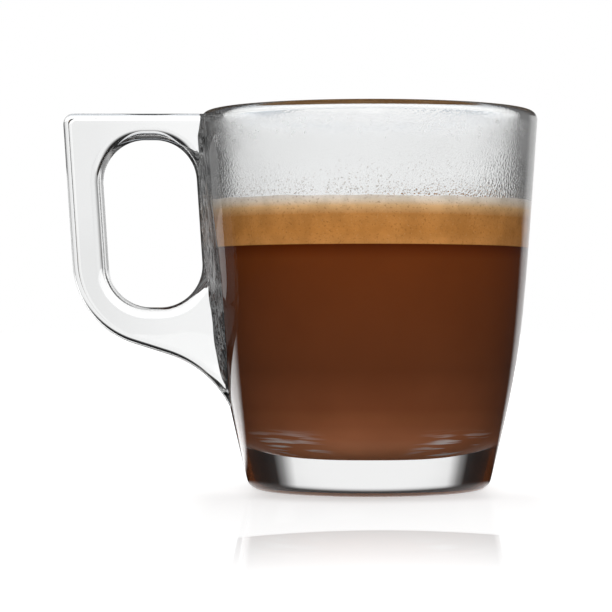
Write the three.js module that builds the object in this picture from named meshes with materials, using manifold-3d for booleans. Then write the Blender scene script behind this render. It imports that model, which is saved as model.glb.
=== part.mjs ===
// A mug of coffee: a tapered cup of clear pressed glass with a thick base, a flat squared handle level with
// the rim, and coffee under a thick layer of crema.
// Millimetres, +Z up. The cup's axis is Z, its base stands on Z = 0 and the handle points to -X.
import * as THREE from "three";
import { mergeVertices } from "three/addons/utils/BufferGeometryUtils.js";
import Module from "manifold-3d";

// Cup: the outer wall bends smoothly from the rim to the foot, drawn towards the belly point.
const mugHeight = 89.6;
const rimRadius = 40;
const bellyRadius = 36.3;
const bellyHeight = 32.3;
const footRadius = 28.4;
const heelRound = 2.6;
const wallThickness = 4.2;
const baseThickness = 10.2;
const floorRound = 20;
const leastFlat = 1;

// Drink: the headspace is the empty height between the rim and the crema.
const headspace = 22;
const cremaThickness = 10.1;
const drinkGap = 0.3;
const meniscusHeight = 0.9;
const meniscusWidth = 2.6;
const meniscusFoot = 0.7;

// Handle: its outline lies in the plane of X and Z, and its sides lean with the cup's upper wall.
const handleThickness = 13;
const handleReach = 32.7;
const handleDrop = 0.4;
const topBar = 6.3;
const gripWidth = 8.5;
const backPlate = 1.9;
const holeHeight = 39.8;
const holeRound = 10;
const leastStraight = 0.5;
const cornerRound = 2.8;
const bendRadius = 21;
const armSlope = THREE.MathUtils.degToRad(17.5);
const armRun = 8.5;
const rootRadius = 24.5;
const rootEnd = THREE.MathUtils.degToRad(168);
const edgeRound = 1.5;
const edgeDepth = 2.4;
const seamGap = 0.3;

// Fineness of the curved faces.
const turnSteps = 80;
const wallPitch = 6;
const roundSteps = 5;
const floorSteps = 12;
const outlineSteps = 7;
const bevelSteps = 3;
const searchSteps = 40;

const lipRadius = wallThickness / 2;
const lipHeight = mugHeight - lipRadius;
const cremaLevel = mugHeight - headspace;
const coffeeLevel = cremaLevel - cremaThickness;
const wasm = await Module();
wasm.setup();

// The outer wall as a curve of radius and height, from just under the lip down to the corner of the foot.
const belly = new THREE.Vector2(bellyRadius, bellyHeight);
const outerWall = new THREE.CubicBezierCurve(
  new THREE.Vector2(rimRadius, lipHeight),
  belly,
  belly,
  new THREE.Vector2(footRadius, 0),
);

// The place along the outer wall, 0 at the lip and 1 at the foot, that lies at a height.
function wallPlace(height) {
  let above = 0;
  let below = 1;
  for (let step = 0; step < searchSteps; step++) {
    const middle = (above + below) / 2;
    if (outerWall.getPoint(middle).y > height) above = middle;
    else below = middle;
  }
  return above;
}

// Points along the wall between two heights, moved in towards the axis by a distance.
function wallPoints(fromHeight, toHeight, inset) {
  const from = wallPlace(fromHeight);
  const to = wallPlace(toHeight);
  const steps = Math.max(2, Math.round(Math.abs(toHeight - fromHeight) / wallPitch));
  const points = [];
  for (let step = 0; step <= steps; step++) {
    const point = outerWall.getPoint(from + ((to - from) * step) / steps);
    points.push(new THREE.Vector2(point.x - inset, point.y));
  }
  return points;
}

// A rounded corner between two straight runs, without its first point.
function roundCorner(start, corner, end, steps) {
  return new THREE.QuadraticBezierCurve(start, corner, end).getPoints(steps).slice(1);
}

// The outside of the cup, from the centre of the base up to the widest point of the lip, grown by a gap.
function outerProfile(gap) {
  const wall = wallPoints(heelRound, lipHeight, -gap);
  const heelStart = new THREE.Vector2(footRadius - heelRound + gap, 0);
  const heel = roundCorner(heelStart, new THREE.Vector2(footRadius + gap, 0), wall[0], roundSteps);
  return [new THREE.Vector2(0, 0), heelStart, ...heel, ...wall.slice(1)];
}

// The lip, a round from the outside of the wall over a turn, without its first point.
function lipProfile(turn, gap) {
  const centre = rimRadius - lipRadius + gap;
  const lip = new THREE.EllipseCurve(centre, lipHeight, lipRadius, lipRadius, 0, turn);
  return lip.getPoints(2 * roundSteps).slice(1);
}

// The hollow of the cup from a height on the wall down to the centre of its floor, shrunk by a gap.
function hollowProfile(topHeight, gap) {
  const floor = baseThickness + gap;
  const inset = wallThickness + gap;
  const cornerRadius = outerWall.getPoint(wallPlace(floor)).x - inset;
  const round = Math.min(floorRound, cornerRadius - leastFlat);
  const wall = wallPoints(topHeight, floor + round, inset);
  const roundTop = wall[wall.length - 1];
  const corner = roundCorner(
    roundTop,
    new THREE.Vector2(cornerRadius, floor),
    new THREE.Vector2(cornerRadius - round, floor),
    floorSteps,
  );
  return [...wall, ...corner, new THREE.Vector2(0, floor)];
}

// A solid turned round Z from a profile of radius and height that starts and ends on the axis.
function turned(profile) {
  return new THREE.LatheGeometry(profile, turnSteps).rotateX(Math.PI / 2);
}

function solidOf(geometry) {
  geometry.deleteAttribute("normal");
  geometry.deleteAttribute("uv");
  const merged = mergeVertices(geometry);
  const vertProperties = merged.attributes.position.array;
  const triVerts = new Uint32Array(merged.index.array);
  return new wasm.Manifold(new wasm.Mesh({ numProp: 3, vertProperties, triVerts }));
}

function geometryOf(solid) {
  const mesh = solid.getMesh();
  const geometry = new THREE.BufferGeometry();
  geometry.setAttribute("position", new THREE.BufferAttribute(mesh.vertProperties, 3));
  geometry.setIndex(new THREE.BufferAttribute(mesh.triVerts, 1));
  geometry.computeVertexNormals();
  return geometry;
}

function cupGeometry() {
  return turned([...outerProfile(0), ...lipProfile(Math.PI, 0), ...hollowProfile(lipHeight, 0).slice(1)]);
}

// The coffee fills the hollow from the floor up to its level.
function coffeeGeometry() {
  const hollow = hollowProfile(coffeeLevel, drinkGap).reverse();
  return turned([...hollow, new THREE.Vector2(0, coffeeLevel)]);
}

// The crema lies on the coffee, and its top creeps up the glass in a thin meniscus.
function cremaGeometry() {
  const side = wallPoints(coffeeLevel, cremaLevel + meniscusHeight, wallThickness + drinkGap);
  const edge = side[side.length - 1];
  const meniscus = roundCorner(
    edge,
    new THREE.Vector2(edge.x - meniscusFoot, cremaLevel),
    new THREE.Vector2(edge.x - meniscusWidth, cremaLevel),
    roundSteps,
  );
  const base = new THREE.Vector2(0, coffeeLevel);
  return turned([base, ...side, ...meniscus, new THREE.Vector2(0, cremaLevel)]);
}

// How far the straight line of the upper wall stands from the axis at a height.
const lean = Math.atan((rimRadius - bellyRadius) / (lipHeight - bellyHeight));
function wallLine(height) {
  return rimRadius - Math.tan(lean) * (lipHeight - height);
}

const handleTop = mugHeight - handleDrop;
const holeTop = handleTop - topBar;
const holeBottom = holeTop - holeHeight;
const holeWidth = handleReach - gripWidth - backPlate;
const holeCorner = Math.min(holeRound, (Math.min(holeWidth, holeHeight) - leastStraight) / 2);

// Corners between a level edge and a leaning one: wide where the outline turns by more than a right angle.
const right = Math.PI / 2;
const wideCorner = Math.tan((right + lean) / 2);
const narrowCorner = Math.tan((right - lean) / 2);

// The finger hole, a leaning rectangle with large round corners.
function fingerHole() {
  const far = handleReach - gripWidth;
  const upper = holeTop - holeCorner;
  const lower = holeBottom + holeCorner;
  const wide = holeCorner * wideCorner;
  const narrow = holeCorner * narrowCorner;
  const hole = new THREE.Path();
  hole.absarc(wallLine(holeBottom) + far - narrow, lower, holeCorner, -right, -lean);
  hole.absarc(wallLine(holeTop) + far - wide, upper, holeCorner, -lean, right);
  hole.absarc(wallLine(holeTop) + backPlate + narrow, upper, holeCorner, right, 2 * right - lean);
  hole.absarc(wallLine(holeBottom) + backPlate + wide, lower, holeCorner, 2 * right - lean, 3 * right);
  hole.closePath();
  return hole;
}

// The handle's outline from the cup's axis out along the top, down the grip and back along the lower arm.
function handleOutline() {
  const outer = (height) => wallLine(height) + handleReach;
  const bendTop = holeBottom + holeCorner;
  const bendX = outer(bendTop) - bendRadius * Math.cos(lean);
  const bendZ = bendTop + bendRadius * Math.sin(lean);
  const bendEnd = armSlope - right;
  const armEndX = bendX + bendRadius * Math.cos(bendEnd) - armRun * Math.cos(armSlope);
  const armEndZ = bendZ + bendRadius * Math.sin(bendEnd) - armRun * Math.sin(armSlope);
  const rootX = armEndX + rootRadius * Math.sin(armSlope);
  const rootZ = armEndZ - rootRadius * Math.cos(armSlope);
  const topEnd = outer(handleTop) - cornerRound * wideCorner;
  const outline = new THREE.Shape();
  outline.moveTo(0, handleTop);
  outline.lineTo(topEnd, handleTop);
  outline.absarc(topEnd, handleTop - cornerRound, cornerRound, right, -lean, true);
  outline.absarc(bendX, bendZ, bendRadius, -lean, bendEnd, true);
  outline.absarc(rootX, rootZ, rootRadius, right + armSlope, rootEnd);
  outline.lineTo(0, rootZ + rootRadius * Math.sin(rootEnd));
  outline.closePath();
  outline.holes.push(fingerHole());
  return outline;
}

// The handle is a flat slab with rounded edges whose back is cut to the curve of the cup.
function handleGeometry() {
  const slab = new THREE.ExtrudeGeometry(handleOutline(), {
    depth: handleThickness - 2 * edgeDepth,
    bevelThickness: edgeDepth,
    bevelSize: edgeRound,
    bevelOffset: -edgeRound,
    bevelSegments: bevelSteps,
    curveSegments: outlineSteps,
  });
  slab.translate(0, 0, edgeDepth - handleThickness / 2);
  const outwards = new THREE.Vector3(-1, 0, 0);
  const upwards = new THREE.Vector3(0, 0, 1);
  const across = new THREE.Vector3(0, 1, 0);
  slab.applyMatrix4(new THREE.Matrix4().makeBasis(outwards, upwards, across));
  const cup = turned([
    ...outerProfile(seamGap),
    ...lipProfile(Math.PI / 2, seamGap),
    new THREE.Vector2(0, mugHeight),
  ]);
  return geometryOf(solidOf(slab).subtract(solidOf(cup)));
}

const clearGlass = { color: 0xe9eeee, roughness: 0.03, metalness: 0, transparent: true, opacity: 0.35 };
const darkCoffee = { color: 0x5d2e12, roughness: 0.15, metalness: 0 };
const goldenCrema = { color: 0xb4793d, roughness: 0.65, metalness: 0 };

function piece(name, geometry, look) {
  const mesh = new THREE.Mesh(geometry, new THREE.MeshStandardMaterial(look));
  mesh.name = name;
  return mesh;
}

const mug = new THREE.Group();
mug.add(piece("glass_body", cupGeometry(), clearGlass));
mug.add(piece("glass_handle", handleGeometry(), clearGlass));
mug.add(piece("coffee", coffeeGeometry(), darkCoffee));
mug.add(piece("crema", cremaGeometry(), goldenCrema));

export default mug;
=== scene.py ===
import math
import random

import bmesh
import bpy
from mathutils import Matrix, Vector


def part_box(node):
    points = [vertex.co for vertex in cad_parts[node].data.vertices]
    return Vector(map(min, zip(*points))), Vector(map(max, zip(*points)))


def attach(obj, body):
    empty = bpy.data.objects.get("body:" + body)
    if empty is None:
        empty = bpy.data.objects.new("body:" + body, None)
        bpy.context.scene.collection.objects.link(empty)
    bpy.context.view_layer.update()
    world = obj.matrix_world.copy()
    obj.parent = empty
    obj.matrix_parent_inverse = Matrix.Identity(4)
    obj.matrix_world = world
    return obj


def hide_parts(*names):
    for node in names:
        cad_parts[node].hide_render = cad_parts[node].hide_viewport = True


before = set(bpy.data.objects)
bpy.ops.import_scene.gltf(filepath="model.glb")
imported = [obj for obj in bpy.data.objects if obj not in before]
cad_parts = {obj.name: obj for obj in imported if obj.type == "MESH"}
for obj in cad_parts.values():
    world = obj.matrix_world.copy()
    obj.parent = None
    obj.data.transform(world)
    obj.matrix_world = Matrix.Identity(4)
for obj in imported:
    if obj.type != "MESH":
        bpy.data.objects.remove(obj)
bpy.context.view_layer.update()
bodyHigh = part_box("glass_body")[1]
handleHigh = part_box("glass_handle")[1]
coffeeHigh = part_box("coffee")[1]
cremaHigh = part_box("crema")[1]
print("frame loaded:", ", ".join(sorted(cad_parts)))


# Small helpers for modelling. Random phases run over one turn.
meshing = {"startSize": 0.001, "startRadius": 0.01, "mergeDistance": 1e-6, "smoothAngle": 40, "domeAngle": 60}
quarter = math.pi / 2
fullTurn = 2 * math.pi
phaseSpan = 6.28


def deselectAll():
    if bpy.context.object and bpy.context.object.mode != "OBJECT":
        bpy.ops.object.mode_set(mode="OBJECT")
    bpy.ops.object.select_all(action="DESELECT")


def finishMesh(piece):
    bpy.ops.mesh.select_all(action="SELECT")
    bpy.ops.mesh.remove_doubles(threshold=meshing["mergeDistance"])
    bpy.ops.mesh.normals_make_consistent(inside=False)
    bpy.ops.object.mode_set(mode="OBJECT")
    bpy.ops.object.shade_smooth_by_angle(angle=math.radians(meshing["smoothAngle"]))
    return piece


# Draws a line of vertices in the XZ plane and spins it round the cup's axis.
def spinProfile(name, points, turns):
    deselectAll()
    bpy.ops.mesh.primitive_plane_add(size=meshing["startSize"])
    piece = bpy.context.object
    piece.name = piece.data.name = name
    bpy.ops.object.mode_set(mode="EDIT")
    bpy.ops.mesh.merge(type="CENTER")
    bpy.ops.transform.translate(value=(points[0][0], 0, points[0][1]))
    for before, after in zip(points, points[1:]):
        step = (after[0] - before[0], 0, after[1] - before[1])
        bpy.ops.mesh.extrude_vertices_move(TRANSFORM_OT_translate={"value": step})
    bpy.ops.mesh.select_all(action="SELECT")
    bpy.ops.mesh.spin(steps=turns, angle=fullTurn, center=(0, 0, 0), axis=(0, 0, 1))
    return finishMesh(piece)


# Extrudes a closed ring of vertices through rings that each have as many points, and fills both ends.
def loftRings(name, rings):
    deselectAll()
    count = len(rings[0])
    bpy.ops.mesh.primitive_circle_add(vertices=count, radius=meshing["startRadius"], fill_type="NOTHING")
    piece = bpy.context.object
    piece.name = piece.data.name = name
    bpy.ops.object.mode_set(mode="EDIT")
    bpy.ops.mesh.select_mode(type="EDGE")
    bpy.ops.mesh.select_all(action="SELECT")
    order = list(range(count))
    for turn, ring in enumerate(rings):
        if turn:
            bpy.ops.mesh.extrude_edges_move()
        mesh = bmesh.from_edit_mesh(piece.data)
        mesh.verts.index_update()
        mesh.verts.ensure_lookup_table()
        if turn:
            follows = {}
            for vert in mesh.verts:
                if vert.select:
                    for edge in vert.link_edges:
                        if not edge.other_vert(vert).select:
                            follows[edge.other_vert(vert).index] = vert.index
            order = [follows[index] for index in order]
        for index, place in zip(order, ring):
            mesh.verts[index].co = place
        bmesh.update_edit_mesh(piece.data)
    bpy.ops.mesh.edge_face_add()
    bpy.ops.mesh.select_all(action="DESELECT")
    mesh = bmesh.from_edit_mesh(piece.data)
    mesh.verts.ensure_lookup_table()
    for index in range(count):
        mesh.verts[index].select = True
    mesh.select_flush(True)
    bmesh.update_edit_mesh(piece.data)
    bpy.ops.mesh.edge_face_add()
    bpy.ops.mesh.select_mode(type="VERT")
    return finishMesh(piece)


# Joins a second solid to a piece or cuts it away, and removes it.
def combine(piece, other, operation):
    deselectAll()
    bpy.context.view_layer.objects.active = piece
    piece.select_set(True)
    step = piece.modifiers.new("combine", "BOOLEAN")
    step.operation = operation
    step.solver = "EXACT"
    step.object = other
    bpy.ops.object.modifier_apply(modifier="combine")
    bpy.data.objects.remove(other, do_unlink=True)


def quadCurve(start, corner, end, steps):
    points = []
    for step in range(1, steps + 1):
        far = step / steps
        near = 1 - far
        triples = zip(start, corner, end)
        points.append(tuple(near * near * a + 2 * near * far * b + far * far * c for a, b, c in triples))
    return points


def arcPoints(centre, radius, fromAngle, toAngle, steps):
    points = []
    for step in range(steps + 1):
        angle = fromAngle + (toAngle - fromAngle) * step / steps
        points.append((centre[0] + radius * math.cos(angle), centre[1] + radius * math.sin(angle)))
    return points


# Cup: the wall runs from the rim towards the belly and on to the foot. The edge of the recess under the
# base is given in recess depths, inwards and up.
cup = {
    "height": bodyHigh.z,
    "rimRadius": bodyHigh.x,
    "bellyRadius": 0.0363,
    "bellyHeight": 0.0323,
    "footRadius": 0.0284,
    "heelRound": 0.0026,
    "wall": 0.0042,
    "base": 0.0102,
    "floorRound": 0.0200,
    "recessRadius": 0.0215,
    "recessDepth": 0.0006,
    "recessEdge": [(3, 1), (1.5, 0.7), (0.6, 0.2), (0, 0)],
    "turns": 224,
    "wallSteps": 30, "roundSteps": 9, "floorSteps": 30, "searchSteps": 40,
}
lipRadius = cup["wall"] / 2
lipHeight = cup["height"] - lipRadius
lipCentre = (cup["rimRadius"] - lipRadius, lipHeight)


def wallPoint(place):
    near, far = 1 - place, place
    pull = 3 * near * far
    radius = near**3 * cup["rimRadius"] + pull * cup["bellyRadius"] + far**3 * cup["footRadius"]
    height = near**3 * lipHeight + pull * cup["bellyHeight"]
    return radius, height


def wallRadius(height):
    above, below = 0.0, 1.0
    for step in range(cup["searchSteps"]):
        middle = (above + below) / 2
        if wallPoint(middle)[1] > height:
            above = middle
        else:
            below = middle
    return wallPoint(above)[0]


# Points up or down the wall between two heights, moved in by a distance.
def wallRun(fromHeight, toHeight, inset, steps):
    heights = [fromHeight + (toHeight - fromHeight) * step / steps for step in range(steps + 1)]
    return [(wallRadius(height) - inset, height) for height in heights]


# The hollow from a height down to the centre of the floor, grown by a small bite into the glass.
def hollowRun(topHeight, bite):
    floor = cup["base"] - bite
    inset = cup["wall"] - bite
    wall = wallRun(topHeight, floor + cup["floorRound"], inset, cup["wallSteps"])
    corner = (wallRadius(floor) - inset, floor)
    flat = (corner[0] - cup["floorRound"], floor)
    return wall + quadCurve(wall[-1], corner, flat, cup["floorSteps"]) + [(flat[0] / 2, floor), (0, floor)]


def buildCup():
    recess = cup["recessRadius"]
    depth = cup["recessDepth"]
    heelStart = (cup["footRadius"] - cup["heelRound"], 0)
    wall = wallRun(cup["heelRound"], lipHeight, 0, cup["wallSteps"])
    profile = [(0, depth), (recess / 2, depth)]
    profile += [(recess - inwards * depth, depth * up) for inwards, up in cup["recessEdge"]]
    profile.append(heelStart)
    profile += quadCurve(heelStart, (cup["footRadius"], 0), wall[0], cup["roundSteps"]) + wall[1:]
    profile += arcPoints(lipCentre, lipRadius, 0, math.pi, 2 * cup["roundSteps"])[1:]
    profile += hollowRun(lipHeight, 0)[1:]
    return spinProfile("mugCup", profile, cup["turns"])


# Handle: a flat slab with a leaning finger hole, its outline in the plane of the axis.
handle = {
    "half": handleHigh.y,
    "top": handleHigh.z,
    "reach": 0.0327,
    "topBar": 0.0063,
    "gripWidth": 0.0085,
    "backPlate": 0.0019,
    "holeHeight": 0.0398,
    "holeRound": 0.010,
    "cornerRound": 0.0028,
    "bendRadius": 0.021,
    "armSlope": math.radians(17.5),
    "armRun": 0.0085,
    "rootRadius": 0.0245,
    "rootEnd": math.radians(168),
    "edgeDepth": 0.0024,
    "outerRound": 0.0014,
    "outerDraft": 0.0003,
    "holeEdgeRound": 0.0020,
    "holeDraft": 0.0006,
    "cutBeyond": 0.004,
    "sunk": 0.0037,
    "seam": 0.00004,
    "roomFloor": 0.010,
    "smoothAngle": 38,
    "edgeSteps": 6, "endSteps": 40, "topSteps": 24, "cornerSteps": 10,
    "gripSteps": 36, "bendSteps": 30, "armSteps": 10, "rootSteps": 30,
    "holeSteps": 120,
}
lean = math.atan((cup["rimRadius"] - cup["bellyRadius"]) / (lipHeight - cup["bellyHeight"]))


def wallLine(height):
    return cup["rimRadius"] - math.tan(lean) * (lipHeight - height)


def straightRun(start, end, steps):
    return [(start[0] + (end[0] - start[0]) * step / steps, start[1] + (end[1] - start[1]) * step / steps)
            for step in range(1, steps)]


# Each point's direction into the glass, square to the line that it lies on.
def inwardNormals(points, side):
    normals = []
    for index in range(len(points)):
        before = points[max(index - 1, 0)]
        after = points[min(index + 1, len(points) - 1)]
        along = Vector((after[0] - before[0], after[1] - before[1])).normalized()
        normals.append(Vector((-along.y, along.x)) * side)
    return normals


def handleOutline():
    top, reach, run = handle["top"], handle["reach"], handle["armRun"]
    slope, bend, root = handle["armSlope"], handle["bendRadius"], handle["rootRadius"]
    corner = handle["cornerRound"]
    bendTop = top - handle["topBar"] - handle["holeHeight"] + handle["holeRound"]
    bendCentre = (wallLine(bendTop) + reach - bend * math.cos(lean), bendTop + bend * math.sin(lean))
    bendArc = arcPoints(bendCentre, bend, -lean, slope - quarter, handle["bendSteps"])
    armEnd = (bendArc[-1][0] - run * math.cos(slope), bendArc[-1][1] - run * math.sin(slope))
    rootCentre = (armEnd[0] + root * math.sin(slope), armEnd[1] - root * math.cos(slope))
    rootArc = arcPoints(rootCentre, root, quarter + slope, handle["rootEnd"], handle["rootSteps"])
    cornerCentre = (wallLine(top) + reach - corner * math.tan((quarter + lean) / 2), top - corner)
    cornerArc = arcPoints(cornerCentre, corner, quarter, -lean, handle["cornerSteps"])
    start = (wallRadius(top - lipRadius) - handle["sunk"], top)
    outline = [start] + straightRun(start, cornerArc[0], handle["topSteps"]) + cornerArc
    outline += straightRun(cornerArc[-1], bendArc[0], handle["gripSteps"]) + bendArc
    outline += straightRun(bendArc[-1], rootArc[0], handle["armSteps"]) + rootArc
    return outline


def holeOutline():
    top = handle["top"] - handle["topBar"]
    bottom = top - handle["holeHeight"]
    turn = handle["holeRound"]
    far = handle["reach"] - handle["gripWidth"]
    near = handle["backPlate"]
    wide = turn * math.tan((quarter + lean) / 2)
    narrow = turn * math.tan((quarter - lean) / 2)
    steps = handle["holeSteps"]
    nearBottom = (wallLine(bottom) + near + wide, bottom + turn)
    corners = [
        arcPoints((wallLine(bottom) + far - narrow, bottom + turn), turn, -quarter, -lean, steps),
        arcPoints((wallLine(top) + far - wide, top - turn), turn, -lean, quarter, steps),
        arcPoints((wallLine(top) + near + narrow, top - turn), turn, quarter, 2 * quarter - lean, steps),
        arcPoints(nearBottom, turn, 2 * quarter - lean, 3 * quarter, steps),
    ]
    outline = []
    for index, corner in enumerate(corners):
        following = corners[(index + 1) % len(corners)]
        outline += corner + straightRun(corner[-1], following[0], steps)
    return outline


def buildHandle():
    outline = handleOutline()
    inward = inwardNormals(outline, -1)
    hole = holeOutline()
    holeInward = inwardNormals(hole[-1:] + hole + hole[:1], -1)[1:-1]
    half, edge, steps = handle["half"], handle["edgeDepth"], handle["edgeSteps"]

    def outerRing(offset, depth):
        moved = [(point[0] + normal.x * offset, point[1] + normal.y * offset)
                 for point, normal in zip(outline, inward)]
        low, high = moved[-1][1], moved[0][1]
        for step in range(1, handle["endSteps"]):
            height = low + (high - low) * step / handle["endSteps"]
            moved.append((wallRadius(min(height, lipHeight)) - handle["sunk"], height))
        return [(-point[0], depth, point[1]) for point in moved]

    def holeRing(offset, depth):
        return [(-point[0] - normal.x * offset, depth, point[1] + normal.y * offset)
                for point, normal in zip(hole, holeInward)]

    # From the middle of the thickness out to one face: a slight draft, then a rounded edge.
    def sideRings(ringOf, draft, edgeRound, side):
        rings = [ringOf(draft * 0.5, side * (half - edge) * 0.5)]
        for step in range(steps + 1):
            angle = quarter * step / steps
            offset = draft + edgeRound * (1 - math.cos(angle))
            rings.append(ringOf(offset, side * (half - edge + edge * math.sin(angle))))
        return rings

    outerSides = [sideRings(outerRing, handle["outerDraft"], handle["outerRound"], side) for side in (-1, 1)]
    holeSides = [sideRings(holeRing, handle["holeDraft"], handle["holeEdgeRound"], side) for side in (-1, 1)]
    beyond = handle["holeDraft"] + handle["holeEdgeRound"]
    slab = loftRings("handleSlab", outerSides[0][::-1] + [outerRing(0, 0)] + outerSides[1])
    ends = [[holeRing(beyond, side * (half + handle["cutBeyond"]))] for side in (-1, 1)]
    cutter = loftRings("holeCutter", ends[0] + holeSides[0][::-1] + [holeRing(0, 0)] + holeSides[1] + ends[1])
    combine(slab, cutter, "DIFFERENCE")
    return slab


# Root band: the rippled strip of chilled glass along which the handle joins the cup. Its half widths are
# given by height.
band = {
    "halfWidths": [(0.0203, 0.0006), (0.0212, 0.003), (0.023, 0.006), (0.026, 0.0088), (0.033, 0.012),
                   (0.0415, 0.0135), (0.050, 0.014), (0.057, 0.0136), (0.070, 0.0116), (0.078, 0.0113),
                   (0.0884, 0.011)],
    "thick": 0.0016,
    "topThick": 0.0003,
    "topFade": 0.005,
    "footThick": 0.25,
    "footFade": 0.008,
    "roundness": 0.6,
    "ripple": 0.0002,
    "rippleEdge": 4,
    "waves": 12,
    "waveLength": (0.0011, 0.0035),
    "tiltLength": (0.005, 0.02),
    "waveSize": (0.4, 1),
    "waveShare": 4,
    "across": 64,
    "levels": 150,
    "backSteps": 8,
    "backShare": 0.97,
    "sunk": 0.002,
    "seed": 12,
}


def bandWidth(height):
    table = band["halfWidths"]
    for (lowHeight, lowWidth), (highHeight, highWidth) in zip(table, table[1:]):
        if height <= highHeight:
            share = (height - lowHeight) / (highHeight - lowHeight)
            return lowWidth + (highWidth - lowWidth) * share
    return table[-1][1]


def buildBand():
    dice = random.Random(band["seed"])
    waves = []
    for wave in range(band["waves"]):
        sideways = fullTurn / dice.uniform(*band["waveLength"])
        upwards = fullTurn / dice.uniform(*band["tiltLength"]) * dice.choice((-1, 1))
        waves.append((sideways, upwards, dice.uniform(0, phaseSpan), dice.uniform(*band["waveSize"])))
    low, high = band["halfWidths"][0][0], band["halfWidths"][-1][0]
    rings = []
    for level in range(band["levels"] + 1):
        height = low + (high - low) * level / band["levels"]
        width = bandWidth(height)
        radius = wallRadius(min(height, lipHeight))
        fade = min(1.0, (high - height) / band["topFade"])
        thick = band["topThick"] + (band["thick"] - band["topThick"]) * fade
        thick *= min(1.0, band["footThick"] + (height - low) / band["footFade"])
        ring = []
        for step in range(band["across"] + 1):
            share = 2 * step / band["across"] - 1
            across = width * share
            bulge = max(0.0, 1 - share * share)
            ripple = sum(size * math.sin(a * across + b * height + c) for a, b, c, size in waves)
            ripple /= band["waveShare"]
            rise = thick * bulge ** band["roundness"]
            rise += band["ripple"] * ripple * min(1.0, bulge * band["rippleEdge"]) * fade
            ring.append((-math.sqrt(radius**2 - across**2) - rise, across, height))
        for step in range(band["backSteps"] + 1):
            across = width * (1 - 2 * step / band["backSteps"]) * band["backShare"]
            ring.append((-math.sqrt(radius**2 - across**2) + band["sunk"], across, height))
        rings.append(ring)
    return loftRings("rootBand", rings)


# The room that the cup takes up, grown by the seam.
def buildCupRoom():
    seam = handle["seam"]
    floor = handle["roomFloor"]
    profile = [(0, floor)] + wallRun(floor, lipHeight, -seam, cup["wallSteps"])
    lip = arcPoints(lipCentre, lipRadius + seam, 0, quarter, cup["roundSteps"])
    return spinProfile("cupRoom", profile + lip[1:] + [(0, cup["height"] + seam)], cup["turns"])


# The handle's back and its root band are cut to the cup, with a hair of room between them.
mugCup = buildCup()
mugHandle = buildHandle()
mugHandle.name = mugHandle.data.name = "mugHandle"
combine(mugHandle, buildBand(), "UNION")
combine(mugHandle, buildCupRoom(), "DIFFERENCE")
bpy.ops.object.shade_smooth_by_angle(angle=math.radians(handle["smoothAngle"]))
flatten = mugHandle.modifiers.new("flatFaces", "WEIGHTED_NORMAL")
flatten.keep_sharp = True
bpy.ops.object.modifier_apply(modifier="flatFaces")
print("mug glass:", len(mugCup.data.polygons) + len(mugHandle.data.polygons), "faces")


# Drink: it bites a little into the glass, so that it looks wet against it.
drink = {
    "bite": 0.00006,
    "coffeeTop": coffeeHigh.z,
    "cremaTop": cremaHigh.z - 0.0009,
    "meniscus": 0.0009,
    "meniscusWidth": 0.0026,
    "meniscusFoot": 0.0007,
    "edgeWave": 0.00025,
    "waves": 9,
    "waveCounts": (2, 3, 5, 7, 11, 17, 23),
    "waveSize": (0.3, 1),
    "waveShare": 4,
    "topSwell": 0.00022,
    "swells": 16,
    "swellScale": (80, 420),
    "swellShare": 6,
    "calmRadius": 0.004,
    "topSlack": 0.00005,
    "turns": 224,
    "sideSteps": 14, "meniscusSteps": 8,
    "topRings": 34,
    "seed": 7,
}


def buildCoffee():
    level = drink["coffeeTop"]
    profile = hollowRun(level, drink["bite"])[::-1]
    profile += [(profile[-1][0] / 2, level), (0, level)]
    return spinProfile("coffeeDrink", profile, drink["turns"])


def buildCrema():
    foot, level, rings = drink["coffeeTop"], drink["cremaTop"], drink["topRings"]
    side = wallRun(foot, level + drink["meniscus"], cup["wall"] - drink["bite"], drink["sideSteps"])
    edge = side[-1]
    inside = (edge[0] - drink["meniscusWidth"], level)
    profile = [(0, foot), (side[0][0] / 2, foot)] + side
    profile += quadCurve(edge, (edge[0] - drink["meniscusFoot"], level), inside, drink["meniscusSteps"])
    profile += [(inside[0] * (1 - step / rings), level) for step in range(1, rings + 1)]
    piece = spinProfile("cremaFoam", profile, drink["turns"])
    # The foam's top isn't level: low swells, and a wavy edge where it clings to the glass.
    dice = random.Random(drink["seed"])
    waves = [(dice.uniform(0, phaseSpan), dice.choice(drink["waveCounts"]), dice.uniform(*drink["waveSize"]))
             for wave in range(drink["waves"])]
    swells = [(dice.uniform(0, phaseSpan), dice.uniform(*drink["swellScale"]), dice.uniform(0, phaseSpan))
              for swell in range(drink["swells"])]
    for vert in piece.data.vertices:
        x, y, z = vert.co
        if z < level - drink["topSlack"]:
            continue
        radius = math.hypot(x, y)
        turn = math.atan2(y, x)
        rise = sum(share * math.sin(count * turn + phase) for phase, count, share in waves)
        rise /= drink["waveShare"]
        near = max(0.0, min(1.0, (radius - inside[0]) / drink["meniscusWidth"]))
        swell = sum(math.sin(scale * (x * math.cos(way) + y * math.sin(way)) + phase)
                    for way, scale, phase in swells) / drink["swellShare"]
        calm = min(1, radius / drink["calmRadius"])
        vert.co.z += near * drink["edgeWave"] * rise + (1 - near) * drink["topSwell"] * swell * calm
    return piece


coffeeDrink = buildCoffee()
cremaFoam = buildCrema()
print("drink:", len(coffeeDrink.data.polygons) + len(cremaFoam.data.polygons), "faces")


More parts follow.
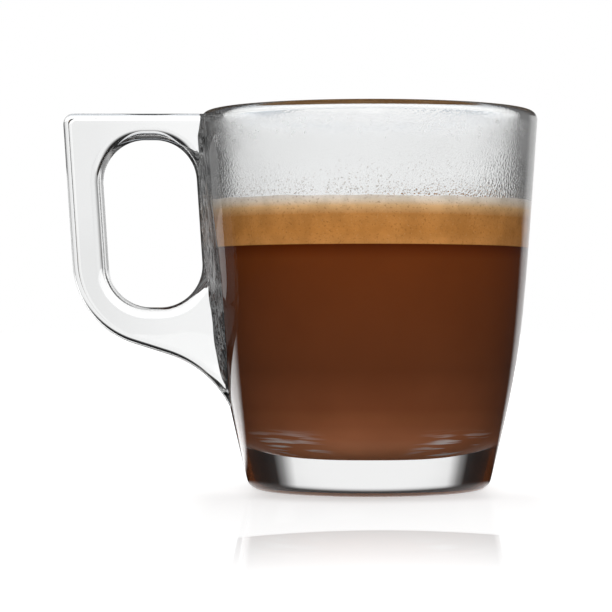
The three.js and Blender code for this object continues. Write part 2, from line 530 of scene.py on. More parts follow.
# One small dome, modelled once and then copied to many places in one mesh.
def domeShape(segments, rings):
    deselectAll()
    bpy.ops.mesh.primitive_uv_sphere_add(segments=segments, ring_count=rings, radius=1)
    bpy.ops.object.mode_set(mode="EDIT")
    bpy.ops.mesh.select_all(action="SELECT")
    bpy.ops.mesh.bisect(plane_co=(0, 0, 0.001), plane_no=(0, 0, 1), clear_inner=True, use_fill=True)
    bpy.ops.object.mode_set(mode="OBJECT")
    dome = bpy.context.object
    corners = [vert.co.copy() for vert in dome.data.vertices]
    faces = [tuple(face.vertices) for face in dome.data.polygons]
    bpy.data.objects.remove(dome, do_unlink=True)
    return corners, faces


# Each place is a centre, the direction out of the surface, a radius and a height.
def scatterDomes(name, dome, places):
    corners, faces = dome
    allCorners, allFaces = [], []
    for centre, outwards, radius, height in places:
        turn = outwards.to_track_quat("Z", "Y")
        first = len(allCorners)
        for corner in corners:
            shaped = Vector((corner.x * radius, corner.y * radius, corner.z * height))
            allCorners.append(centre + turn @ shaped)
        allFaces += [tuple(first + index for index in face) for face in faces]
    mesh = bpy.data.meshes.new(name)
    mesh.from_pydata(allCorners, [], allFaces)
    piece = bpy.data.objects.new(name, mesh)
    bpy.context.scene.collection.objects.link(piece)
    deselectAll()
    piece.select_set(True)
    bpy.context.view_layer.objects.active = piece
    bpy.ops.object.shade_smooth_by_angle(angle=math.radians(meshing["domeAngle"]))
    return piece


# Condensation: fine drops on the inside of the glass, thickest just above the crema and on the side away
# from the handle. Patches are a share, a count round the cup and a phase.
mist = {
    "count": 6000,
    "seed": 21,
    "smallest": 0.00006,
    "largest": 0.00017,
    "fineness": 2.2,
    "highShare": 0.35,
    "lowShare": 0.65,
    "lowBand": 0.012,
    "widths": (0.9, 1.1),
    "heights": (0.45, 0.7),
    "reach": 0.0030,
    "sideReach": 0.0042,
    "thin": 0.26,
    "sideThick": 0.74,
    "patches": [(0.12, 3, 1), (0.10, 7, 0)],
    "footGap": 0.0003,
    "highest": 0.0855,
    "gap": 0.000004,
    "wallLean": 0.065,
    "dome": (6, 4),
}


def buildCondensation():
    dice = random.Random(mist["seed"])
    places = []
    foot = drink["cremaTop"] + drink["meniscus"] + mist["footGap"]
    while len(places) < mist["count"]:
        turn = dice.uniform(-math.pi, math.pi)
        away = max(0.0, math.cos(turn))
        height = foot + dice.expovariate(1 / (mist["reach"] + mist["sideReach"] * away))
        thick = mist["thin"] + mist["sideThick"] * away
        for share, count, phase in mist["patches"]:
            thick += share * math.sin(count * turn + phase)
        if height > mist["highest"] or dice.random() > thick:
            continue
        low = max(0.0, 1 - (height - foot) / mist["lowBand"])
        spread = (mist["largest"] - mist["smallest"]) * dice.random() ** mist["fineness"]
        radius = mist["smallest"] + spread * (mist["highShare"] + mist["lowShare"] * low)
        wall = wallRadius(min(height, lipHeight)) - cup["wall"] - mist["gap"]
        outwards = Vector((-math.cos(turn), -math.sin(turn), mist["wallLean"])).normalized()
        centre = Vector((wall * math.cos(turn), wall * math.sin(turn), height))
        width = radius * dice.uniform(*mist["widths"])
        places.append((centre, outwards, width, radius * dice.uniform(*mist["heights"])))
    return scatterDomes("condensation", domeShape(*mist["dome"]), places)


# Bubbles: small domes on the crema, most of them along the glass.
bubbles = {
    "edgeCount": 420,
    "openCount": 520,
    "seed": 4,
    "smallest": 0.00012,
    "largest": 0.00075,
    "fineness": 3.5,
    "heights": (0.55, 0.9),
    "edgeRadius": 0.0344,
    "edgeBand": 0.0028,
    "edgeCrowd": 1.6,
    "openRadius": 0.0318,
    "sunk": 0.12,
    "castFrom": 0.09,
    "dome": (10, 8),
}


def buildBubbles():
    dice = random.Random(bubbles["seed"])
    places = []
    up = Vector((0, 0, 1))
    for index in range(bubbles["edgeCount"] + bubbles["openCount"]):
        turn = dice.uniform(-math.pi, math.pi)
        spread = (bubbles["largest"] - bubbles["smallest"]) * dice.random() ** bubbles["fineness"]
        size = bubbles["smallest"] + spread
        if index < bubbles["edgeCount"]:
            inwards = bubbles["edgeBand"] * dice.random() ** bubbles["edgeCrowd"]
            radius = bubbles["edgeRadius"] - size - inwards
        else:
            radius = bubbles["openRadius"] * math.sqrt(dice.random())
        share = dice.uniform(*bubbles["heights"])
        places.append((radius * math.cos(turn), radius * math.sin(turn), size, share))
    found = []
    for x, y, size, share in places:
        hit, spot, normal = cremaFoam.ray_cast(Vector((x, y, bubbles["castFrom"])), -up)[:3]
        if hit:
            found.append((spot - up * size * bubbles["sunk"], (normal + up).normalized(), size, size * share))
    return scatterDomes("cremaBubbles", domeShape(*bubbles["dome"]), found)


condensation = buildCondensation()
cremaBubbles = buildBubbles()
print("drops and bubbles:", len(condensation.data.polygons) + len(cremaBubbles.data.polygons), "faces")


# Materials. Most of a noise texture's values lie in the noise span.
noiseSpan = (0.3, 0.7)


def setValues(node, values):
    for name, value in values.items():
        node.inputs[name].default_value = value
    return node


def newTree(name, values):
    material = bpy.data.materials.new(name)
    material.use_nodes = True
    tree = material.node_tree
    return material, tree, setValues(tree.nodes["Principled BSDF"], values)


def addNode(tree, kind, values={}, **settings):
    node = tree.nodes.new("ShaderNode" + kind)
    for name, value in settings.items():
        setattr(node, name, value)
    return setValues(node, values)


def link(tree, output, node, name):
    tree.links.new(output, node.inputs[name])


def mathNode(tree, operation, first, second=0.0, clamp=False):
    node = addNode(tree, "Math", operation=operation, use_clamp=clamp)
    for slot, value in enumerate((first, second)):
        if isinstance(value, (int, float)):
            node.inputs[slot].default_value = value
        else:
            tree.links.new(value, node.inputs[slot])
    return node.outputs["Value"]


def product(tree, first, *others):
    for other in others:
        first = mathNode(tree, "MULTIPLY", first, other)
    return first


def rampNode(tree, factor, stops):
    node = addNode(tree, "ValToRGB")
    ramp = node.color_ramp
    ramp.elements.remove(ramp.elements[1])
    ramp.elements[0].position = stops[0][0]
    ramp.elements[0].color = (*stops[0][1], 1)
    for place, colour in stops[1:]:
        ramp.elements.new(place).color = (*colour, 1)
    link(tree, factor, node, "Fac")
    return node.outputs["Color"]


def objectPlace(tree):
    coords = addNode(tree, "TexCoord")
    parts = addNode(tree, "SeparateXYZ")
    link(tree, coords.outputs["Object"], parts, "Vector")
    return coords.outputs["Object"], parts.outputs


# The distance from the mug's axis.
def axisRadius(tree, parts):
    squares = [product(tree, parts[name], parts[name]) for name in "XY"]
    return mathNode(tree, "SQRT", mathNode(tree, "ADD", *squares))


def noiseNode(tree, place, scale, detail=2.0, roughness=0.5):
    node = addNode(tree, "TexNoise", {"Scale": scale, "Detail": detail, "Roughness": roughness})
    link(tree, place, node, "Vector")
    return node.outputs["Fac"]


def mapRange(tree, value, low, high, toLow=0.0, toHigh=1.0, smooth=True):
    node = addNode(tree, "MapRange", {"From Min": low, "From Max": high, "To Min": toLow, "To Max": toHigh})
    node.interpolation_type = "SMOOTHSTEP" if smooth else "LINEAR"
    link(tree, value, node, "Value")
    return node.outputs["Result"]


def mixColour(tree, factor, first, second, blend="MIX"):
    node = addNode(tree, "Mix", data_type="RGBA", blend_type=blend)
    for socket, value in ((node.inputs["Factor"], factor), (node.inputs[6], first), (node.inputs[7], second)):
        if isinstance(value, tuple):
            socket.default_value = (*value, 1)
        elif isinstance(value, (int, float)):
            socket.default_value = value
        else:
            tree.links.new(value, socket)
    return node.outputs[2]


def bumpNode(tree, height, strength, distance, before=None):
    node = addNode(tree, "Bump", {"Strength": strength, "Distance": distance})
    link(tree, height, node, "Height")
    if before:
        link(tree, before, node, "Normal")
    return node.outputs["Normal"]


# Clear glass: fire-polished and a little wavy, grey at the lip, where the grey tint is painted shade that
# darkens the rim line, with mist and beads on the inside above the drink. A pair is where a mask starts and
# ends, and two more numbers are its values there.
glass = {
    "colour": (0.985, 0.99, 0.99),
    "ior": 1.52,
    # Painted shade: a grey tint at the lip, which darkens the rim line.
    "lip": (0.43, 0.48, 0.54),
    "lipShadeBand": (0.0878, 0.0888),
    "innerRadius": 0.0372,
    "wetAbove": 0.0660,
    "mist": 0.30,
    "mistBand": (0.0880, 0.0856),
    "clearing": (0.0830, 0.0710, 0.0, 0.55),
    "patchScale": 420,
    "patches": (0.3, 0.75, 0.55, 1.0),
    "polishScale": 90,
    "polish": 0.012,
    "wave": 0.000035,
    "waveScale": 75,
    "bead": 0.00010,
    "beadScale": 1900.0,
    "beadSmooth": 0.35,
    "beadBand": (0.0850, 0.0690, 0.12, 1.0),
    "coolSide": (-0.020, 0.020, 0.35, 1.0),
    "coolEnd": (0.024, 0.036, 1.0, 0.45),
}


def glassMaterial():
    material, tree, shader = newTree("clearGlass", {"Transmission Weight": 1, "IOR": glass["ior"]})
    place, parts = objectPlace(tree)
    # The grey lip is painted shade: a tint that darkens the rim line from every side.
    lip = mapRange(tree, parts["Z"], *glass["lipShadeBand"])
    link(tree, mixColour(tree, lip, glass["colour"], glass["lip"]), shader, "Base Color")
    inside = mathNode(tree, "LESS_THAN", axisRadius(tree, parts), glass["innerRadius"])
    over = mathNode(tree, "GREATER_THAN", parts["Z"], glass["wetAbove"])
    wet = product(tree, inside, over)
    fog = mapRange(tree, parts["Z"], *glass["mistBand"])
    clearing = mapRange(tree, parts["Z"], *glass["clearing"])
    patches = mapRange(tree, noiseNode(tree, place, glass["patchScale"], 4, 0.6), *glass["patches"])
    misty = product(tree, mathNode(tree, "SUBTRACT", fog, clearing, clamp=True), patches, wet)
    polish = noiseNode(tree, place, glass["polishScale"], 3)
    polish = mapRange(tree, polish, *noiseSpan, 0.0, glass["polish"])
    rough = mathNode(tree, "ADD", product(tree, misty, glass["mist"]), polish)
    link(tree, rough, shader, "Roughness")
    wave = noiseNode(tree, place, glass["waveScale"], 1.5)
    normal = bumpNode(tree, wave, 1.0, glass["wave"])
    cells = {"Scale": glass["beadScale"], "Smoothness": glass["beadSmooth"]}
    beads = addNode(tree, "TexVoronoi", cells, feature="SMOOTH_F1")
    link(tree, place, beads, "Vector")
    low = mapRange(tree, parts["Z"], *glass["beadBand"])
    cool = mapRange(tree, parts["X"], *glass["coolSide"])
    cool = product(tree, cool, mapRange(tree, parts["X"], *glass["coolEnd"]))
    beaded = product(tree, beads.outputs["Distance"], product(tree, low, cool, wet))
    link(tree, bumpNode(tree, beaded, 1.0, glass["bead"], normal), shader, "Normal")
    return material


water = {"colour": (0.99, 0.99, 0.99, 1), "ior": 1.33, "roughScale": 700, "rough": 0.03}


def waterMaterial():
    values = {"Base Color": water["colour"], "Transmission Weight": 1, "IOR": water["ior"]}
    material, tree, shader = newTree("clearWater", values)
    place = objectPlace(tree)[0]
    grain = noiseNode(tree, place, water["roughScale"])
    rough = mapRange(tree, grain, *noiseSpan, 0.0, water["rough"])
    link(tree, rough, shader, "Roughness")
    return material


# Coffee: an opaque surface, dark at its top and paler low down; the paleness is painted light, as if light
# came in through the base.
coffee = {
    "span": (0.010, 0.0576),
    "colours": [
        (0.0, (0.86, 0.390, 0.205)),
        (0.03, (0.74, 0.305, 0.150)),
        (0.08, (0.50, 0.180, 0.080)),
        (0.14, (0.32, 0.108, 0.044)),
        (0.22, (0.205, 0.063, 0.024)),
        (0.40, (0.128, 0.037, 0.012)),
        (0.93, (0.146, 0.034, 0.006)),
        (0.985, (0.095, 0.016, 0.001)),
        (1.0, (0.065, 0.010, 0.001)),
    ],
    "cloudScale": 55,
    "cloud": 0.22,
    "cloudColour": (0.085, 0.020, 0.004),
    "rough": (0.05, 0.09),
    "ior": 1.14,
    "gloss": (0.0108, 0.0130, 0.0, 0.5),
}

# Glints: painted highlights, thin pale streaks low on the front of the drink, towards its sides, standing in
# for light that the thick corner of the glass throws on the drink. Turns are in radians.
glints = {
    "colour": (0.95, 0.90, 0.88),
    "along": 1.5,
    "up": 1500,
    "lean": 1.5,
    "across": 40,
    "streaks": (0.50, 0.63),
    "foot": (0.0102, 0.0106),
    "top": (0.0162, 0.0122),
    "fromTurn": (0.40, 0.85),
    "toTurn": (1.50, 1.30),
}


def paintedGlintMask(tree, parts):
    front = product(tree, parts["Y"], -1)
    turn = mathNode(tree, "ARCTAN2", mathNode(tree, "ABSOLUTE", parts["X"]), front)
    rise = product(tree, parts["Z"], glints["up"])
    up = mathNode(tree, "SUBTRACT", rise, product(tree, turn, glints["lean"]))
    bent = addNode(tree, "CombineXYZ")
    link(tree, product(tree, turn, glints["along"]), bent, "X")
    link(tree, up, bent, "Y")
    link(tree, product(tree, parts["X"], glints["across"]), bent, "Z")
    streaks = mapRange(tree, noiseNode(tree, bent.outputs["Vector"], 1.0), *glints["streaks"])
    heights = [mapRange(tree, parts["Z"], *glints[name]) for name in ("foot", "top")]
    turns = [mapRange(tree, turn, *glints[name]) for name in ("fromTurn", "toTurn")]
    return product(tree, streaks, product(tree, *heights, *turns))


def coffeeMaterial():
    material, tree, shader = newTree("darkCoffee", {"IOR": coffee["ior"]})
    place, parts = objectPlace(tree)
    height = mapRange(tree, parts["Z"], *coffee["span"], smooth=False)
    colour = rampNode(tree, height, coffee["colours"])
    clouds = mapRange(tree, noiseNode(tree, place, coffee["cloudScale"], 3), *noiseSpan)
    cloudy = product(tree, clouds, coffee["cloud"])
    colour = mixColour(tree, cloudy, colour, coffee["cloudColour"])
    # Painted glints: pale streaks mixed into the drink's colour, standing in for light.
    colour = mixColour(tree, paintedGlintMask(tree, parts), colour, glints["colour"])
    link(tree, colour, shader, "Base Color")
    link(tree, mapRange(tree, clouds, 0, 1, *coffee["rough"]), shader, "Roughness")
    link(tree, mapRange(tree, parts["Z"], *coffee["gloss"]), shader, "Specular IOR Level")
    return material


# Crema: fine golden foam, pale where it thins out at its top, with brown specks. Its top face is painted
# darker than its sides: painted shade.
crema = {
    "span": (0.0572, 0.0684),
    "side": [
        (0.0, (0.36, 0.130, 0.024)),
        (0.05, (0.61, 0.275, 0.076)),
        (0.30, (0.575, 0.245, 0.058)),
        (0.62, (0.57, 0.255, 0.068)),
        (0.79, (0.79, 0.500, 0.240)),
        (0.91, (0.84, 0.730, 0.590)),
        (1.0, (0.86, 0.800, 0.740)),
    ],
    "top": [(0.0, (0.37, 0.165, 0.050)), (0.45, (0.46, 0.228, 0.080)), (1.0, (0.56, 0.315, 0.130))],
    "topAbove": 0.06735,
    "rimBand": (0.0300, 0.0345),
    "warpScale": 60.0,
    "warp": 0.012,
    "marbleScale": 120,
    "marble": (0.35, 0.68),
    "blotchScale": 190,
    "blotch": (0.80, 0.785, 0.75),
    "speckScale": 1900,
    "specks": (0.56, 0.70),
    "speckShare": 0.45,
    "speckColour": (0.20, 0.070, 0.014),
    "paleScale": 2300,
    "pale": (0.62, 0.75),
    "paleShare": 0.14,
    "paleColour": (0.70, 0.46, 0.22),
    "rough": (0.62, 0.48),
    "gloss": 0.1,
    "foamScale": 1700.0,
    "foamStrength": 0.35,
    "foamDepth": 0.00012,
}


def cremaMaterial():
    material, tree, shader = newTree("goldenCrema", {"Specular IOR Level": crema["gloss"]})
    place, parts = objectPlace(tree)
    side = rampNode(tree, mapRange(tree, parts["Z"], *crema["span"], smooth=False), crema["side"])
    rim = mapRange(tree, axisRadius(tree, parts), *crema["rimBand"])
    warp = addNode(tree, "TexNoise", {"Scale": crema["warpScale"], "Detail": 3.0})
    link(tree, place, warp, "Vector")
    swirl = addNode(tree, "VectorMath", {"Scale": crema["warp"]}, operation="SCALE")
    link(tree, warp.outputs["Color"], swirl, 0)
    bent = addNode(tree, "VectorMath", operation="ADD")
    link(tree, place, bent, 0)
    link(tree, swirl.outputs["Vector"], bent, 1)
    marble = noiseNode(tree, bent.outputs["Vector"], crema["marbleScale"], 5, 0.55)
    # The top face: its marbling is the foam's own pattern, but its darker tone than the sides is painted
    # shade that dims the rim line.
    top = rampNode(tree, mapRange(tree, marble, *crema["marble"]), crema["top"])
    level = mathNode(tree, "GREATER_THAN", parts["Z"], crema["topAbove"])
    core = product(tree, level, mathNode(tree, "SUBTRACT", 1.0, rim))
    colour = mixColour(tree, core, side, top)
    blotches = mapRange(tree, noiseNode(tree, place, crema["blotchScale"], 3, 0.6), *noiseSpan)
    colour = mixColour(tree, blotches, colour, crema["blotch"], "MULTIPLY")
    specks = mapRange(tree, noiseNode(tree, place, crema["speckScale"], 3, 0.6), *crema["specks"])
    specked = product(tree, specks, crema["speckShare"])
    colour = mixColour(tree, specked, colour, crema["speckColour"])
    pale = mapRange(tree, noiseNode(tree, place, crema["paleScale"], 1), *crema["pale"])
    pale = product(tree, pale, crema["paleShare"])
    colour = mixColour(tree, pale, colour, crema["paleColour"])
    link(tree, colour, shader, "Base Color")
    link(tree, mapRange(tree, specks, 0, 1, *crema["rough"]), shader, "Roughness")
    foam = addNode(tree, "TexVoronoi", {"Scale": crema["foamScale"]}, feature="SMOOTH_F1")
    link(tree, place, foam, "Vector")
    dents = bumpNode(tree, foam.outputs["Distance"], crema["foamStrength"], crema["foamDepth"])
    link(tree, dents, shader, "Normal")
    return material


bubbleLook = {
    "tintScale": 420,
    "colours": [(0.0, (0.33, 0.135, 0.030)), (1.0, (0.62, 0.36, 0.135))],
    "rough": (0.16, 0.30),
    "gloss": 0.5,
}


def bubbleMaterial():
    material, tree, shader = newTree("foamBubbles", {"Specular IOR Level": bubbleLook["gloss"]})
    place = objectPlace(tree)[0]
    tint = mapRange(tree, noiseNode(tree, place, bubbleLook["tintScale"], 2), *noiseSpan)
    link(tree, rampNode(tree, tint, bubbleLook["colours"]), shader, "Base Color")
    link(tree, mapRange(tree, tint, 0, 1, *bubbleLook["rough"]), shader, "Roughness")
    return material


def wear(piece, material):
    piece.data.materials.clear()
    piece.data.materials.append(material)


clearGlass = glassMaterial()
wear(mugCup, clearGlass)
wear(mugHandle, clearGlass)
wear(condensation, waterMaterial())
wear(coffeeDrink, coffeeMaterial())
wear(cremaFoam, cremaMaterial())
wear(cremaBubbles, bubbleMaterial())
for clearPiece in (mugCup, mugHandle, condensation):
    clearPiece.visible_shadow = False
print("materials on 6 pieces")


# Stage: a pale floor, studio light and the photograph's camera. Pairs are masks, as for the glass.
stage = {
    "floorSize": 6.0,
    "floorDrop": 0.0001,
    "floorColour": 0.62,
    "roughness": 0.7,
    "lift": 0.72,
    "liftReach": (0.05, 0.50),
    "skimming": (0.80, 0.88),
    "edge": 0.0072,
    "edgeSoft": 0.0002,
    "edgeBend": 3.8,
    "frontBend": 17.6,
    # Painted reflection: how much the floor's glow dims where the mirror image of the clear base would fall.
    "paintedReflectionDim": 0.11,
    "frontReach": (0.0, -0.03),
    "beside": (0.046, 0.034),
    # Painted contact shadow: how much the floor's glow dims round the foot.
    "paintedContactShadow": 0.20,
    "paintedShadowReach": (0.048, 0.029),
    "under": (0.033, 0.022),
    "polish": 0.42,
    "basePolish": 0.05,
    "polishRough": 0.015,
    "fadeOut": 0.0205,
    "beneath": (0.034, 0.024),
    "cardAway": (0.0285, 0.034),
    "cardStart": (0.045, 0.07),
    "cardFar": (0.58, 0.42, 0.38, 1.0),
    "pipedShare": 0.85,
    "skimIor": 1.42,
}


# The room, as stops of bearing from straight behind the mug, in degrees, and brightness. Its masks go by
# the height of a ray's direction.
room = {
    "through": [(0, 1.0), (4, 0.98), (9, 0.92), (22, 0.90), (28, 0.66), (34, 0.42), (42, 0.24), (60, 0.08),
                (78, 0.05), (82, 0.96), (98, 0.96), (102, 0.05), (168, 0.05), (173, 0.96)],
    "throughHigh": [(0, 0.96), (27, 0.96), (33, 0.30), (38, 0.03), (46, 0.015), (78, 0.015), (82, 0.93),
                    (98, 0.93), (102, 0.015), (168, 0.015), (173, 0.93)],
    "pipedLeft": [(0, 0.06), (12, 0.02), (34, 0.015), (40, 0.16), (50, 0.16), (56, 0.015)],
    "pipedRight": [(0, 0.06), (5, 0.34), (14, 0.34), (19, 0.03), (27, 0.03), (31, 0.50), (38, 0.50),
                   (43, 0.03), (52, 0.03), (56, 0.20), (62, 0.20), (68, 0.02)],
    "leftShade": [(0, 1.0), (3, 1.0), (5, 0.91), (9, 0.93), (14, 1.0)],
    "floorMirror": [(0, 1.0), (30, 1.0), (37, 0.10), (45, 0.02), (68, 0.02), (78, 1.0), (102, 1.0),
                    (112, 0.02)],
    "mirrorLeft": [(0, 0.9), (3.5, 0.9), (6, 0.03), (28, 0.03), (36, 0.5), (58, 0.5), (66, 0.04),
                   (100, 0.02)],
    "mirrorRight": [(0, 0.9), (34, 0.9), (43, 0.08), (55, 0.03), (100, 0.02)],
    "cardLeft": [(0, 0.03), (28, 0.03), (38, 2.6), (56, 2.6), (66, 0.03)],
    "cardRight": [(0, 0.03), (3, 0.03), (7, 0.9), (34, 0.9), (43, 0.03)],
    "window": [(0, 0.0), (80, 0.0), (84, 1.0), (96, 1.0), (100, 0.0), (170, 0.0), (174, 1.0)],
    "windowColour": (0.95, 0.95, 0.95),
    "windowFoot": (0.02, 0.04),
    "windowTop": (0.16, 0.12),
    "roof": (0.90, 0.98, 0.015, 0.45),
    "low": (0.40, 0.20),
    "high": (0.10, 0.14),
    "mirrorBand": (0.17, 0.10),
    "dark": (0.03, 0.03, 0.03),
    "fill": 0.34,
}


def bearingRamp(tree, bearing, stops):
    return rampNode(tree, bearing, [(angle / 180, (level,) * 3) for angle, level in stops])


# The bearing with its sign, its size as a share of half a turn, and whether it lies to the right.
def bearingOf(tree, parts):
    signed = mathNode(tree, "ARCTAN2", parts["X"], parts["Y"])
    bearing = mathNode(tree, "DIVIDE", mathNode(tree, "ABSOLUTE", signed), math.pi)
    return signed, bearing, mathNode(tree, "GREATER_THAN", signed, 0.0)


def sidedRamp(tree, bearing, right, name):
    left = bearingRamp(tree, bearing, room[name + "Left"])
    return mixColour(tree, right, left, bearingRamp(tree, bearing, room[name + "Right"]))


def mixShaders(tree, factor, first, second):
    node = addNode(tree, "MixShader")
    for slot, output in enumerate((factor, first, second)):
        tree.links.new(output, node.inputs[slot])
    return node.outputs["Shader"]


def buildFloor():
    deselectAll()
    bpy.ops.mesh.primitive_plane_add(size=stage["floorSize"], location=(0, 0, -stage["floorDrop"]))
    floor = bpy.context.object
    floor.name = "floor"
    colour = (stage["floorColour"],) * 3 + (1,)
    values = {"Base Color": colour, "Roughness": stage["roughness"], "Specular IOR Level": 0.0}
    material, tree, shader = newTree("paleFloor", values)
    parts = objectPlace(tree)[1]
    radius = axisRadius(tree, parts)
    sideways = mathNode(tree, "ABSOLUTE", parts["X"])
    glow = addNode(tree, "Emission", {"Color": (1, 1, 1, 1)})
    path = addNode(tree, "LightPath").outputs
    seen = mathNode(tree, "ADD", path["Is Camera Ray"], path["Is Glossy Ray"])
    seen = mathNode(tree, "ADD", seen, path["Is Transmission Ray"], clamp=True)
    fresh = mathNode(tree, "LESS_THAN", path["Diffuse Depth"], 0.5)
    seen = product(tree, seen, fresh)
    lift = mapRange(tree, radius, *stage["liftReach"], stage["lift"], 1.0)
    # The mirror image of the drink starts where a mirrored ray reaches the mug above its clear base.
    facing = addNode(tree, "LayerWeight", {"Blend": 0.5}).outputs["Facing"]
    skimming = mapRange(tree, facing, *stage["skimming"])
    square = product(tree, parts["X"], parts["X"])
    ahead = mathNode(tree, "SUBTRACT", product(tree, square, stage["frontBend"]), parts["Y"])
    ahead = mathNode(tree, "SUBTRACT", ahead, cup["footRadius"])
    reached = product(tree, ahead, mathNode(tree, "SUBTRACT", 1.0, facing))
    reached = mathNode(tree, "SUBTRACT", reached, product(tree, square, stage["edgeBend"]))
    edge, soft = stage["edge"], stage["edgeSoft"]
    drinkSide = mapRange(tree, reached, edge - soft, edge + soft)
    # Painted reflection: in front of the base, where the floor holds back its mirror of the clear base, its
    # glow is dimmed as a painted mirror image of the base.
    beside = mapRange(tree, sideways, *stage["beside"])
    before = mapRange(tree, parts["Y"], *stage["frontReach"])
    before = product(tree, beside, before, mathNode(tree, "SUBTRACT", 1.0, drinkSide), skimming)
    lift = mathNode(tree, "SUBTRACT", lift, product(tree, before, stage["paintedReflectionDim"]))
    # Painted contact shadow: the floor's glow is dimmed in a ring just round the foot.
    paintedContactShadow = mapRange(tree, radius, *stage["paintedShadowReach"], 0.0, stage["paintedContactShadow"])
    paintedContactShadow = product(tree, paintedContactShadow, mapRange(tree, sideways, *stage["under"]))
    lift = mathNode(tree, "SUBTRACT", lift, paintedContactShadow)
    link(tree, product(tree, seen, lift), glow, "Strength")
    gloss = addNode(tree, "BsdfGlossy", {"Roughness": stage["polishRough"], "Color": (1, 1, 1, 1)})
    fade = mapRange(tree, reached, edge, stage["fadeOut"], 1.0, 0.0, smooth=False)
    beneath = mapRange(tree, sideways, *stage["beneath"])
    sheen = mapRange(tree, drinkSide, 0, 1, stage["basePolish"], stage["polish"])
    sheen = product(tree, sheen, fade, beneath, skimming)
    lit = addNode(tree, "AddShader")
    link(tree, shader.outputs["BSDF"], lit, 0)
    link(tree, glow.outputs["Emission"], lit, 1)
    # Rays that the mug mirrors see dark and bright cards on the floor, which keep the drink's colour deep.
    mirrored, passed = path["Is Reflection Ray"], path["Is Transmission Ray"]
    carded = product(tree, mapRange(tree, radius, *stage["cardAway"]), mirrored)
    dim = product(tree, mathNode(tree, "GREATER_THAN", path["Glossy Depth"], 0.5), passed)
    carded = mathNode(tree, "MAXIMUM", carded, product(tree, dim, stage["pipedShare"]))
    card = addNode(tree, "Emission")
    signed, bearing, right = bearingOf(tree, parts)
    link(tree, sidedRamp(tree, bearing, right, "card"), card, "Color")
    near = mathNode(tree, "MAXIMUM", mapRange(tree, radius, *stage["cardFar"]), right)
    bright = product(tree, mapRange(tree, radius, *stage["cardStart"]), near, mirrored)
    link(tree, bright, card, "Strength")
    carded = product(tree, carded, fresh)
    shown = mixShaders(tree, carded, lit.outputs["Shader"], card.outputs["Emission"])
    # Through the glass the polished floor mirrors the room at a flat angle.
    skim = addNode(tree, "Fresnel", {"IOR": stage["skimIor"]}).outputs["Fac"]
    seenThrough = product(tree, passed, skim, mathNode(tree, "SUBTRACT", fresh, dim, clamp=True))
    straight = product(tree, path["Is Camera Ray"], sheen)
    mirrors = mathNode(tree, "ADD", straight, seenThrough)
    mixed = mixShaders(tree, mirrors, shown, gloss.outputs["BSDF"])
    tree.links.new(mixed, tree.nodes["Material Output"].inputs["Surface"])
    wear(floor, material)


# White behind the mug, dark beyond, so that the glass gets its dark outlines.
def buildRoom():
    world = bpy.data.worlds.new("studio")
    bpy.context.scene.world = world
    world.use_nodes = True
    tree = world.node_tree
    coords = addNode(tree, "TexCoord")
    split = addNode(tree, "SeparateXYZ")
    link(tree, coords.outputs["Generated"], split, "Vector")
    z = split.outputs["Z"]
    signed, bearing, right = bearingOf(tree, split.outputs)
    rise = mathNode(tree, "ABSOLUTE", z)
    roof = mapRange(tree, z, *room["roof"])
    low = mapRange(tree, rise, *room["low"])
    high = mapRange(tree, z, *room["high"])
    left = mathNode(tree, "LESS_THAN", signed, 0.0)
    shade = bearingRamp(tree, bearing, room["leftShade"])
    through = mixColour(tree, left, bearingRamp(tree, bearing, room["through"]), shade, "MULTIPLY")
    through = mixColour(tree, high, through, bearingRamp(tree, bearing, room["throughHigh"]))
    through = mixColour(tree, low, roof, through)
    mirror = sidedRamp(tree, bearing, right, "mirror")
    mirror = mixColour(tree, mapRange(tree, rise, *room["mirrorBand"]), room["dark"], mirror)
    # Low windows on the other sides, which the polished floor mirrors.
    window = bearingRamp(tree, bearing, room["window"])
    heights = [mapRange(tree, z, *room[name]) for name in ("windowFoot", "windowTop")]
    window = product(tree, window, product(tree, *heights))
    mirror = mixColour(tree, window, mirror, room["windowColour"])
    # Light that bounces on inside the glass before it leaves comes from the dark parts of the room.
    path = addNode(tree, "LightPath").outputs
    bounced = mathNode(tree, "GREATER_THAN", path["Glossy Depth"], 0.5)
    through = mixColour(tree, bounced, through, sidedRamp(tree, bearing, right, "piped"))
    after = mathNode(tree, "GREATER_THAN", path["Transmission Depth"], 0.5)
    reflected = mixColour(tree, after, mirror, bearingRamp(tree, bearing, room["floorMirror"]))
    lit = mathNode(tree, "GREATER_THAN", path["Diffuse Depth"], 0.5)
    colour = mixColour(tree, path["Is Reflection Ray"], through, reflected)
    colour = mixColour(tree, lit, colour, (room["fill"],) * 3)
    colour = mixColour(tree, path["Is Camera Ray"], colour, (1.0, 1.0, 1.0))
    tree.links.new(colour, tree.nodes["Background"].inputs["Color"])


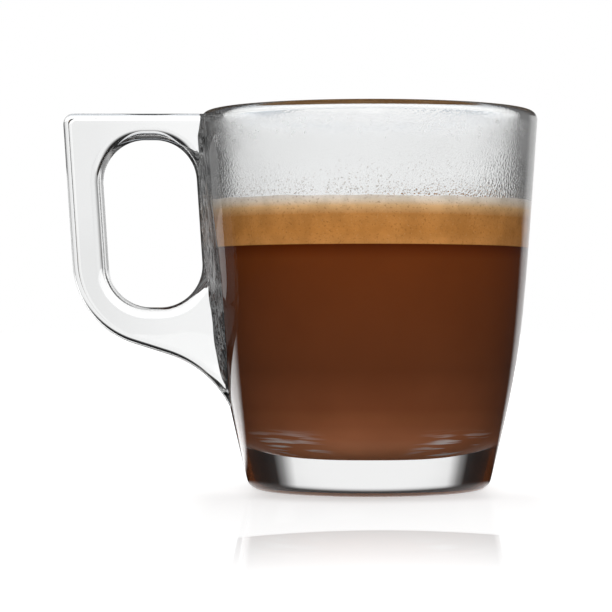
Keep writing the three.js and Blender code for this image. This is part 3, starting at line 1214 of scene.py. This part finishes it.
# Lamps: a place, a size and watts each, all aimed at the middle of the mug.
lamps = {
    "frontSoftbox": ((0.0, -1.0, 0.11), (0.5, 0.4), 8.8),
    "topSoftbox": ((0.1, 0.15, 1.1), (1.0, 1.0), 2.8),
    "backSoftbox": ((0.35, 1.0, 0.35), (0.6, 0.5), 2.5),
}
lampAim = Vector((0, 0, 0.045))


def addLamp(name, place, size, watts):
    data = bpy.data.lights.new(name, "AREA")
    data.shape = "RECTANGLE"
    data.size, data.size_y = size
    data.energy = watts
    lamp = bpy.data.objects.new(name, data)
    bpy.context.scene.collection.objects.link(lamp)
    lamp.location = place
    lamp.rotation_euler = (lampAim - Vector(place)).to_track_quat("-Z", "Y").to_euler()
    lamp.visible_camera = False
    lamp.visible_glossy = False
    lamp.visible_transmission = False


view = {
    "place": (-0.01495, -0.581, 0.0439),
    "sensor": 36,
    "lens": 143.5,
    "shiftUp": -2 / 612,
    "clip": 0.01,
}


def buildCamera():
    data = bpy.data.cameras.new("photoCamera")
    data.sensor_width = view["sensor"]
    data.lens = view["lens"]
    data.shift_y = view["shiftUp"]
    data.clip_start = view["clip"]
    camera = bpy.data.objects.new("photoCamera", data)
    bpy.context.scene.collection.objects.link(camera)
    camera.location = view["place"]
    camera.rotation_euler = (quarter, 0, 0)
    bpy.context.scene.camera = camera


buildFloor()
buildRoom()
for lampName, lampValues in lamps.items():
    addLamp(lampName, *lampValues)
buildCamera()
scene = bpy.context.scene
scene.view_settings.view_transform = "Standard"
scene.cycles.max_bounces = 24
scene.cycles.transmission_bounces = 20
scene.cycles.glossy_bounces = 10
print("stage, lamps and camera set")


# Every piece belongs to the mug's one body.
for piece, slot in (
    (mugCup, "clear_glass"),
    (mugHandle, "clear_glass"),
    (condensation, "clear_glass"),
    (coffeeDrink, "coffee_drink"),
    (cremaFoam, "crema_foam"),
    (cremaBubbles, "crema_foam"),
):
    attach(piece, "root")
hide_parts("glass_body")
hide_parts("glass_handle")
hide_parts("coffee")
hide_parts("crema")
